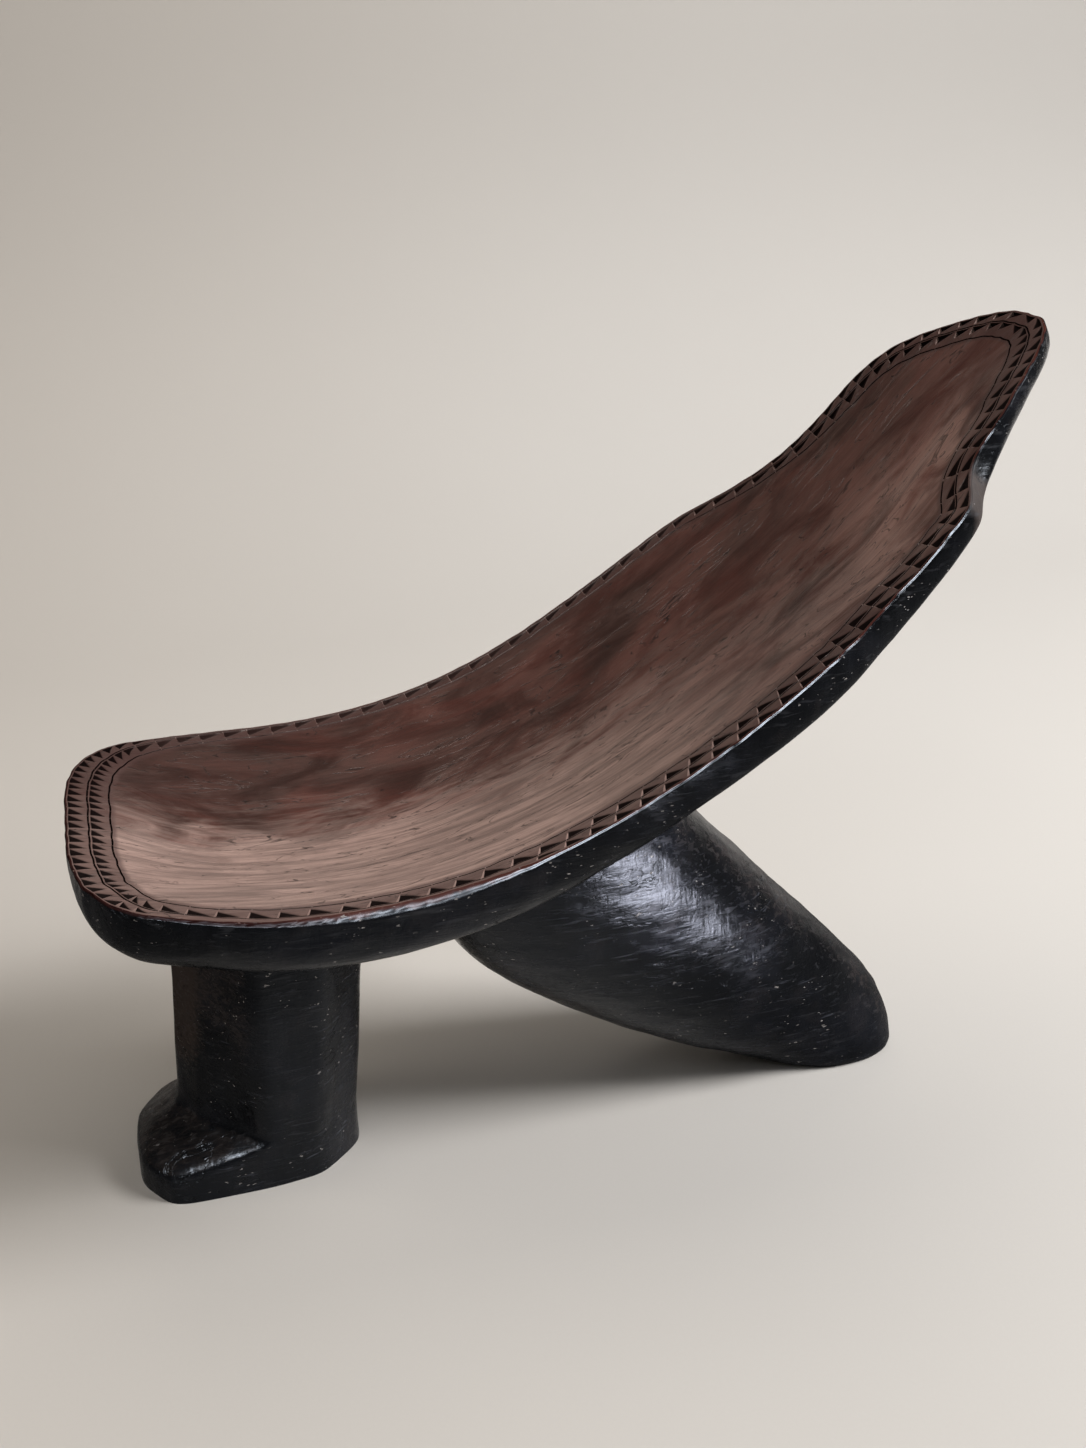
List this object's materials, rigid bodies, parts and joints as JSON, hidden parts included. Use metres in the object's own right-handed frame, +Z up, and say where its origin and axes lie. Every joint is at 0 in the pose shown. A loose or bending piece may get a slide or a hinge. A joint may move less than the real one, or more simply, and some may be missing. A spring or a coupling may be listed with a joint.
{
  "type": "carved reclining chair",
  "caption": "Low carved wooden reclining chair: a dished slab seat sweeping up to a shaped head, on a footed front post and a raking rear leg, with a chip-carved triangle border.",
  "frame": {"origin": "on the floor under the middle of the chair's bounding box", "axes": "+X from the front edge of the seat towards the head, +Y to the sitter's left, +Z up"},
  "size_m": [1.0232, 0.4579, 0.8554],
  "materials": {
    "seat": "worn satin, red-brown stained top",
    "front_leg": "worn satin black lacquer",
    "rear_leg": "worn satin black lacquer",
    "dowels": "bare hardwood"
  },
  "bodies": {
    "root": {"seat": "seat", "front_leg": "front_leg", "rear_leg": "rear_leg", "front_leg_dowel_front_right": "dowels", "front_leg_dowel_front_left": "dowels", "front_leg_dowel_back_right": "dowels", "front_leg_dowel_back_left": "dowels", "rear_leg_dowel_front_right": "dowels", "rear_leg_dowel_front_left": "dowels", "rear_leg_dowel_back_right": "dowels", "rear_leg_dowel_back_left": "dowels"}
  },
  "joints": []
}
